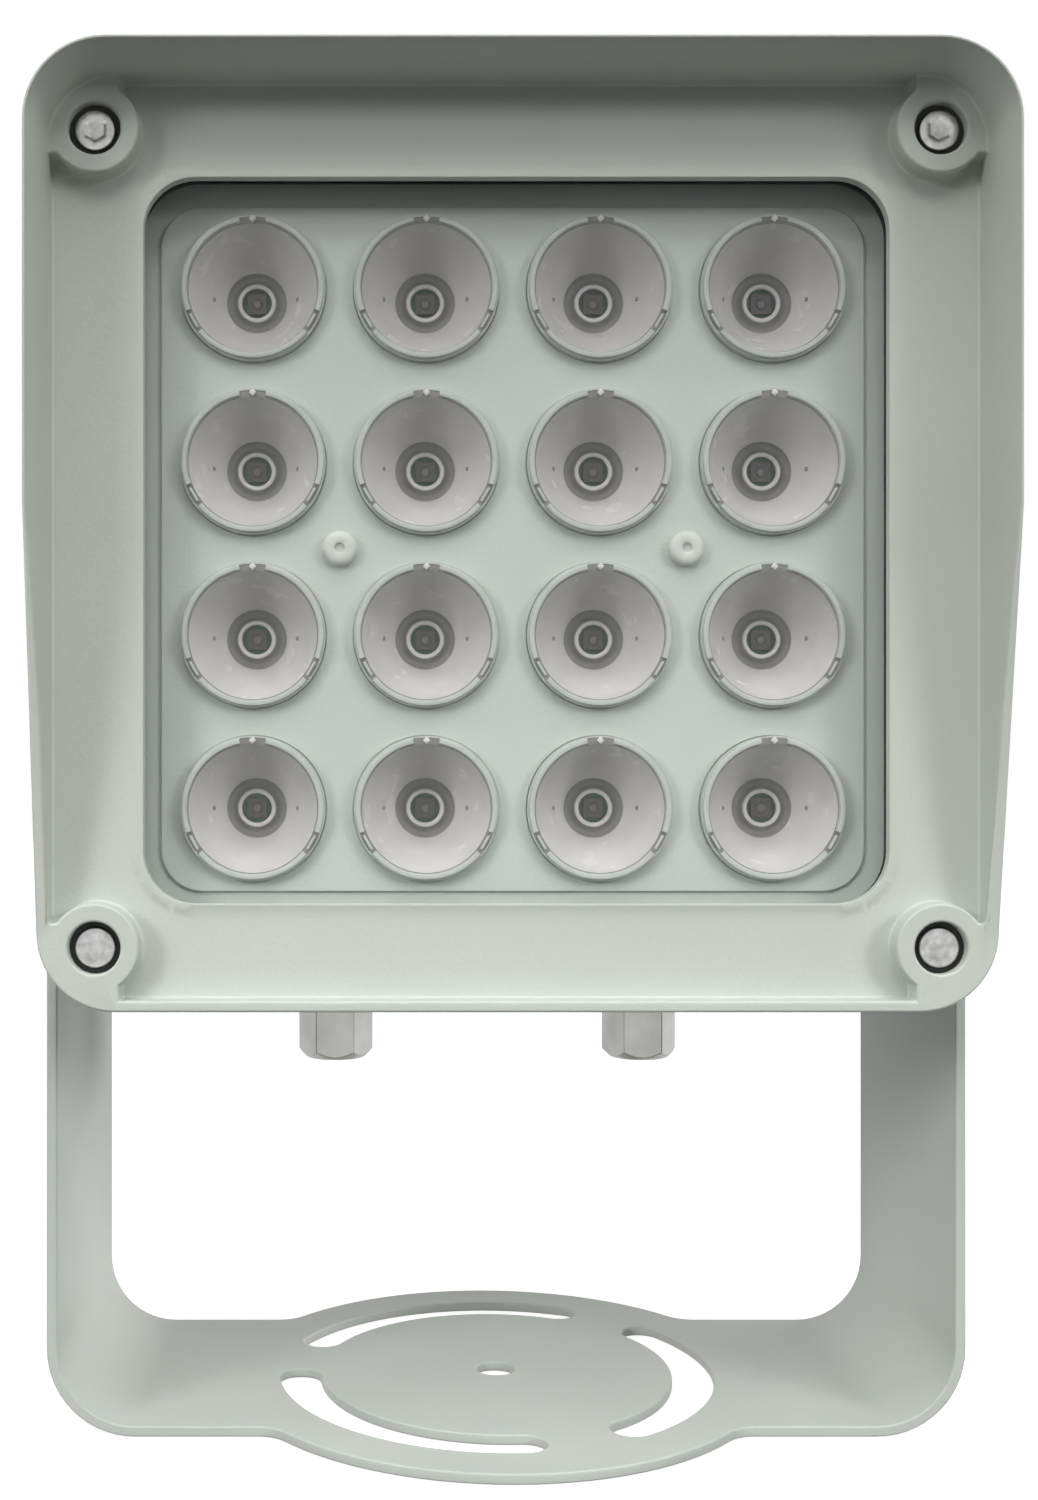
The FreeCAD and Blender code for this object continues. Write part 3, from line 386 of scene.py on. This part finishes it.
# The step from the ring down to the bowl and the bore get the painted shade.
for section in ([skirt[-1], bowl[0]], bore):
    turned(shape, section, Vector(), TO_BACK, TO_RIGHT, LENS_STEPS, material=2)
for first, last in ((NOTCH_HALF, TAB_TURN - TAB_HALF - TAB_GAP),
                    (TAB_TURN + TAB_HALF + TAB_GAP, 360 - TAB_TURN - TAB_HALF - TAB_GAP),
                    (360 - TAB_TURN + TAB_HALF + TAB_GAP, 360 - NOTCH_HALF)):
    ring_arc(shape, first, last)
for middle in (TAB_TURN, 360 - TAB_TURN):
    outwards = Matrix.Rotation(math.radians(middle), 4, "Y")
    add_block(shape, outwards @ Matrix.Translation((0, 0.0006, RING_INNER + 0.0004)),
              TAB_SIZE, DETAIL_SOFTNESS, 0)
tooth = Matrix.Translation((0, 0.0005, RING_INNER + 0.0005)) @ Matrix.Rotation(math.radians(45), 4, "Y")
add_block(shape, tooth, (TOOTH_SIDE, TOOTH_SIDE, TOOTH_SIDE), DETAIL_SOFTNESS, 3)
for way in (-1, 1):
    pip = TO_RIGHT * (way * PIP_PLACE) + TO_BACK * bowl_depth(PIP_PLACE)
    turned(shape, PIP_PROFILE, pip, TO_BACK, UPWARDS, PIP_STEPS, material=2)
lens = settled(shape)
lens_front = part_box("lens_row_1")[0].y
for row in range(1, ROW_COUNT + 1):
    lenses = piece_from(copies_at(lens, row_places(row, lens_front)), "lens_set_%d" % row,
                        ring_acrylic, bowl_acrylic, painted_lens_shade, collar_gloss)
    fit(lenses, "lamp", "clear_acrylic", "lens_row_%d" % row)

# Lens tray: a pale moulded pan with a hole for each lens, held by two nylon screws whose round
# heads have a small recess, painted a little darker for the shade in it.
TRAY_SOFTNESS = 0.0003
TRAY_HEAD = 0.00375
TRAY_HEAD_HEIGHT = 0.0022
TRAY_SHANK = 0.002
TRAY_HEAD_STEPS = 40
pale_moulding = finish("pale_moulding", paint_chip(191, 197, 191), paint_chip(197, 203, 197),
                       patch=30.0, rough=0.55, grain=1500.0, depth=0.00007)
screw_low, screw_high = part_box("tray_screws")
tray_face = screw_low.y + TRAY_HEAD_HEIGHT
shape = solid_copy("lens_tray")
ease(shape, [edge for edge in sharp_edges(shape)
             if max(vert.co.y for vert in edge.verts) < tray_face + TRAY_SOFTNESS], TRAY_SOFTNESS)
tray = piece_from(shape, "lens_pan", pale_moulding)
fit(tray, "lamp", "tray_plastic", "lens_tray")

white_nylon = finish("white_nylon", paint_chip(201, 204, 198), paint_chip(211, 214, 208),
                     patch=200.0, rough=0.35, grain=1200.0, depth=0.00002)
# Painted shade: the recess is a little darker than the head for the shade that falls in it.
recess_shade = finish("nylon_recess_painted_shade", paint_chip(186, 190, 184), paint_chip(195, 199, 193),
                      patch=200.0, rough=0.5, grain=1200.0, depth=0.00002)
shape = bmesh.new()
for x in (screw_low.x + TRAY_HEAD, screw_high.x - TRAY_HEAD):
    centre = Vector((x, tray_face, (screw_low.z + screw_high.z) / 2))
    head = [(TRAY_SHANK, screw_high.y - tray_face), (TRAY_SHANK, 0.0), (TRAY_HEAD - 0.0001, 0.0),
            (TRAY_HEAD, -0.0002), (TRAY_HEAD, -0.0012), (TRAY_HEAD - 0.0003, -0.0018),
            (TRAY_HEAD - 0.0010, -TRAY_HEAD_HEIGHT), (0.0013, -TRAY_HEAD_HEIGHT), (0.0011, -0.0021)]
    recess = [head[-1], (0.0009, -0.0017), (0.0, -0.0016)]
    end = [head[0], (0.0, screw_high.y - tray_face)]
    for section, material in ((head, 0), (recess, 1), (end, 0)):
        turned(shape, section, centre, TO_BACK, UPWARDS, TRAY_HEAD_STEPS, material=material)
bmesh.ops.remove_doubles(shape, verts=shape.verts, dist=WELD_DISTANCE)
bmesh.ops.recalc_face_normals(shape, faces=shape.faces)
tray_screws = piece_from(shape, "nylon_screws", white_nylon, recess_shade)
fit(tray_screws, "lamp", "white_nylon", "tray_screws")

# Window: a pane of clear glass with a black rubber channel round its edge, pressed into the
# frame from behind by the tray's rim.
PANE_SOFTNESS = 0.0004
LEAST_COVER = 0.03
MOST_COVER = 0.3
COVER_POWER = 4.0
dress(black_rubber, "glass_gasket")


def clear_glass():
    """Thin clear glass that covers little of what is behind it, and more at a flat angle."""
    material = finish("window_glass", paint_chip(238, 243, 241), paint_chip(242, 246, 244),
                      patch=10.0, rough=0.03, grain=60.0, depth=0.0, spread=0.01)
    nodes, links = material.node_tree.nodes, material.node_tree.links
    facing = nodes.new("ShaderNodeLayerWeight")
    flat_view = nodes.new("ShaderNodeMath")
    flat_view.operation = "POWER"
    flat_view.inputs[1].default_value = COVER_POWER
    links.new(facing.outputs["Facing"], flat_view.inputs[0])
    cover = nodes.new("ShaderNodeMapRange")
    cover.inputs["To Min"].default_value = LEAST_COVER
    cover.inputs["To Max"].default_value = MOST_COVER
    links.new(flat_view.outputs[0], cover.inputs["Value"])
    links.new(cover.outputs["Result"], nodes["Principled BSDF"].inputs["Alpha"])
    return material


window = piece_from(eased_copy("front_glass", PANE_SOFTNESS), "window_pane", clear_glass())
fit(window, "lamp", "window_glass", "front_glass")

# Front frame: one casting with the hood, its raked cheeks, the bezel round the window and a
# boss for each corner screw, coated like the housing.
FRAME_SOFTNESS = 0.0006
THIN_LAND = 0.0012
THIN_SOFTNESS = 0.00015


def land_beside(edge):
    """Width of the narrower face beside an edge, measured away from the edge."""
    start, end = (vert.co for vert in edge.verts)
    along = (end - start).normalized()
    widths = []
    for face in edge.link_faces:
        if len(face.verts) > 4:
            widths.append(2 * face.calc_area() / face.calc_perimeter())
        else:
            widths.append(max((vert.co - start).cross(along).length for vert in face.verts))
    return min(widths)


shape = solid_copy("front_frame")
thin = ease(shape, [edge for edge in sharp_edges(shape) if land_beside(edge) < THIN_LAND], THIN_SOFTNESS)
ease(shape, [edge for edge in sharp_edges(shape) if thin.isdisjoint(edge.link_faces)], FRAME_SOFTNESS)
front = piece_from(shape, "hooded_frame", cast_coat)
fit(front, "lamp", "lamp_paint", "front_frame")

# Corner screws: four stainless socket head screws that hold the front frame to the housing. They
# are sunk in the bosses, with a rubber sleeve round each head.
SOCKET_FLATS = 0.004
HEAD_RADIUS = 0.00425
HEAD_HEIGHT = 0.005
HEAD_CHAMFER = 0.0004
HEAD_LAND = 0.0012
SHANK_RADIUS = 0.0025
SHANK_CHAMFER = 0.0004
SOCKET_DEPTH = 0.0003
SOCKET_TAPER = 0.8
LOOP_COUNT = 48
worn_steel = finish("worn_stainless", paint_chip(164, 164, 162), paint_chip(196, 196, 194),
                    patch=650.0, rough=0.36, grain=2600.0, depth=0.000015, metallic=1.0)
corner_low, corner_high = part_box("frame_screws")


def socket_head_screw(length):
    """A cap head screw: a chamfered head with a shallow hexagon socket, on a plain shank."""
    shape = bmesh.new()
    body = [(0.0, length), (SHANK_RADIUS - SHANK_CHAMFER, length), (SHANK_RADIUS, length - SHANK_CHAMFER),
            (SHANK_RADIUS, HEAD_HEIGHT), (HEAD_RADIUS, HEAD_HEIGHT), (HEAD_RADIUS, HEAD_CHAMFER),
            (HEAD_RADIUS - HEAD_CHAMFER / 2, HEAD_CHAMFER / 4), (HEAD_RADIUS - HEAD_CHAMFER, 0.0),
            (HEAD_RADIUS - HEAD_LAND, 0.0)]
    turned(shape, body, Vector(), TO_BACK, TO_RIGHT, LOOP_COUNT)
    facing = Matrix.Rotation(math.radians(90), 4, "X")
    mouth = bmesh.ops.create_circle(shape, cap_ends=True, segments=6, radius=SOCKET_FLATS / math.sqrt(3),
                                    matrix=facing)["verts"]
    sides = list({edge for vert in mouth for edge in vert.link_edges})
    floor = bmesh.ops.extrude_discrete_faces(shape, faces=mouth[0].link_faces[:])["faces"][0]
    bmesh.ops.scale(shape, verts=floor.verts, vec=(SOCKET_TAPER, 1, SOCKET_TAPER))
    bmesh.ops.translate(shape, verts=floor.verts, vec=TO_BACK * SOCKET_DEPTH)
    bmesh.ops.subdivide_edges(shape, edges=sides, cuts=LOOP_COUNT // 6 - 1)
    bmesh.ops.remove_doubles(shape, verts=shape.verts, dist=WELD_DISTANCE)
    bmesh.ops.bridge_loops(shape, edges=[edge for edge in shape.edges if edge.is_boundary])
    return settled(shape)


corner_places = [Vector((x, corner_low.y, z)) for x in (corner_low.x + HEAD_RADIUS, corner_high.x - HEAD_RADIUS)
                 for z in (corner_low.z + HEAD_RADIUS, corner_high.z - HEAD_RADIUS)]
joined = copies_at(socket_head_screw(corner_high.y - corner_low.y), corner_places)
corner_screws = piece_from(joined, "socket_screws", worn_steel)
fit(corner_screws, "lamp", "satin_steel", "frame_screws")
dress(black_rubber, "frame_screw_seals")

# Pivot: a stainless hexagon bolt and a washer on each leg, screwed into the housing's boss, and
# a nylon disc between leg and boss that lets the lamp turn.
BOLT_SOFTNESS = 0.0004
WASHER_SOFTNESS = 0.0002
for side in ("left", "right"):
    bolt = piece_from(eased_copy("pivot_bolt_" + side, BOLT_SOFTNESS), "tilt_bolt_" + side, satin_steel)
    fit(bolt, "lamp", "satin_steel", "pivot_bolt_" + side)
washers = piece_from(eased_copy("pivot_washers", WASHER_SOFTNESS), "bolt_washers", satin_steel)
fit(washers, "lamp", "satin_steel", "pivot_washers")
dress(white_nylon, "pivot_discs")

# Studio: a pale floor and a white surround, with a wide key lamp overhead, a small lamp low down
# behind the right leg, and three soft lamps that stand in front and at the sides and point at the
# foot of the object.
FLOOR_SIZE = 8.0
FLOOR_DROP = 0.0002
FLOOR_GLOW = 0.88
SHADE_REACH = 0.3
WHITE_REACH = 1.2
SURROUND_FRONT = 0.12
SURROUND_BACK = 0.85
POINTED_SOFTNESS = 0.25


def seen_rays(nodes, links):
    """One for the rays that show a surface: straight to the camera, in a reflection or through glass."""
    rays = nodes.new("ShaderNodeLightPath")
    total = rays.outputs["Is Camera Ray"]
    for kind in ("Is Glossy Ray", "Is Transmission Ray"):
        join = nodes.new("ShaderNodeMath")
        join.operation = "MAXIMUM"
        links.new(total, join.inputs[0])
        links.new(rays.outputs[kind], join.inputs[1])
        total = join.outputs[0]
    return total


def pale_floor():
    """Paper that looks white, is white far off, and throws little light up at the object."""
    material = bpy.data.materials.new("pale_floor")
    material.use_nodes = True
    nodes, links = material.node_tree.nodes, material.node_tree.links
    shader = nodes["Principled BSDF"]
    shader.inputs["Roughness"].default_value = 0.9
    shader.inputs["Emission Color"].default_value = (1, 1, 1, 1)
    seen = seen_rays(nodes, links)
    paper = nodes.new("ShaderNodeValToRGB")
    paper.color_ramp.elements[0].color = paint_chip(70, 70, 70)
    paper.color_ramp.elements[1].color = paint_chip(150, 150, 150)
    links.new(seen, paper.inputs["Fac"])
    links.new(paper.outputs["Color"], shader.inputs["Base Color"])
    place = nodes.new("ShaderNodeTexCoord")
    away = nodes.new("ShaderNodeVectorMath")
    away.operation = "LENGTH"
    links.new(place.outputs["Object"], away.inputs[0])
    glow = nodes.new("ShaderNodeMapRange")
    glow.inputs["From Min"].default_value = SHADE_REACH
    glow.inputs["From Max"].default_value = WHITE_REACH
    glow.inputs["To Min"].default_value = FLOOR_GLOW
    glow.inputs["To Max"].default_value = 1.0
    links.new(away.outputs["Value"], glow.inputs["Value"])
    shown = nodes.new("ShaderNodeMath")
    shown.operation = "MULTIPLY"
    links.new(glow.outputs["Result"], shown.inputs[0])
    links.new(seen, shown.inputs[1])
    links.new(shown.outputs[0], shader.inputs["Emission Strength"])
    return material


shape = bmesh.new()
bmesh.ops.create_grid(shape, x_segments=1, y_segments=1, size=FLOOR_SIZE / 2)
bmesh.ops.translate(shape, verts=shape.verts, vec=(0, 0, -FLOOR_DROP))
floor_mesh = bpy.data.meshes.new("floor")
shape.to_mesh(floor_mesh)
shape.free()
floor_mesh.materials.append(pale_floor())
floor = bpy.data.objects.new("floor", floor_mesh)
bpy.context.scene.collection.objects.link(floor)


def hang_lamp(data, place, target, power):
    """Sets a lamp's power and points it from its place at its target. Only the surround is mirrored."""
    data.energy = power
    lamp = bpy.data.objects.new(data.name, data)
    lamp.location = place
    lamp.rotation_euler = (Vector(target) - Vector(place)).to_track_quat("-Z", "Y").to_euler()
    lamp.visible_glossy = False
    bpy.context.scene.collection.objects.link(lamp)


def broad_lamp(name, place, target, power, width, height):
    """A soft rectangle of light."""
    data = bpy.data.lights.new(name, "AREA")
    data.shape = "RECTANGLE"
    data.size = width
    data.size_y = height
    hang_lamp(data, place, target, power)


def pointed_lamp(name, place, target, power, cone):
    """A soft pool of light, with the cone's full angle in degrees."""
    data = bpy.data.lights.new(name, "SPOT")
    data.shadow_soft_size = POINTED_SOFTNESS
    data.spot_size = math.radians(cone)
    data.spot_blend = 1.0
    hang_lamp(data, place, target, power)


broad_lamp("key_lamp", (0, -0.8, 1.45), (0, -0.05, 0.15), power=19.0, width=2.2, height=0.9)
broad_lamp("low_lamp", (0.55, 0.25, 0.09), (0, 0, 0.06), power=1.7, width=0.3, height=0.15)
pointed_lamp("front_lamp", (0, -1.1, 0.9), (0, -0.1, 0), power=15.0, cone=30)
pointed_lamp("left_lamp", (-1.0, -0.9, 0.5), (0, -0.05, 0.02), power=49.0, cone=28)
pointed_lamp("right_lamp", (1.0, -0.9, 0.5), (0, -0.05, 0.02), power=43.0, cone=28)

world = bpy.data.worlds.new("surround")
bpy.context.scene.world = world
world.use_nodes = True
nodes, links = world.node_tree.nodes, world.node_tree.links
direction = nodes.new("ShaderNodeTexCoord")
parts = nodes.new("ShaderNodeSeparateXYZ")
links.new(direction.outputs["Generated"], parts.inputs["Vector"])
fill = nodes.new("ShaderNodeMapRange")
fill.inputs["To Min"].default_value = SURROUND_FRONT
fill.inputs["To Max"].default_value = SURROUND_BACK
links.new(parts.outputs["Y"], fill.inputs["Value"])
strength = nodes.new("ShaderNodeMapRange")
links.new(seen_rays(nodes, links), strength.inputs["Value"])
links.new(fill.outputs["Result"], strength.inputs["To Min"])
strength.inputs["To Max"].default_value = 1.0
background = nodes["Background"]
background.inputs["Color"].default_value = (1, 1, 1, 1)
links.new(strength.outputs["Result"], background.inputs["Strength"])

# Camera: straight on, a little left of the middle and about level with the lowest row of lenses,
# with the picture shifted to take in the whole object.
camera_data = bpy.data.cameras.new("camera")
camera_data.lens = 40.68
camera_data.sensor_width = 36.0
camera_data.shift_x = 0.0887
camera_data.shift_y = 0.0233
camera_data.clip_start = 0.01
camera = bpy.data.objects.new("camera", camera_data)
camera.location = (-0.0272, -0.4217, 0.1475)
camera.rotation_euler = (math.radians(90), 0, 0)
bpy.context.scene.collection.objects.link(camera)
bpy.context.scene.camera = camera
bpy.context.scene.view_settings.view_transform = "Standard"
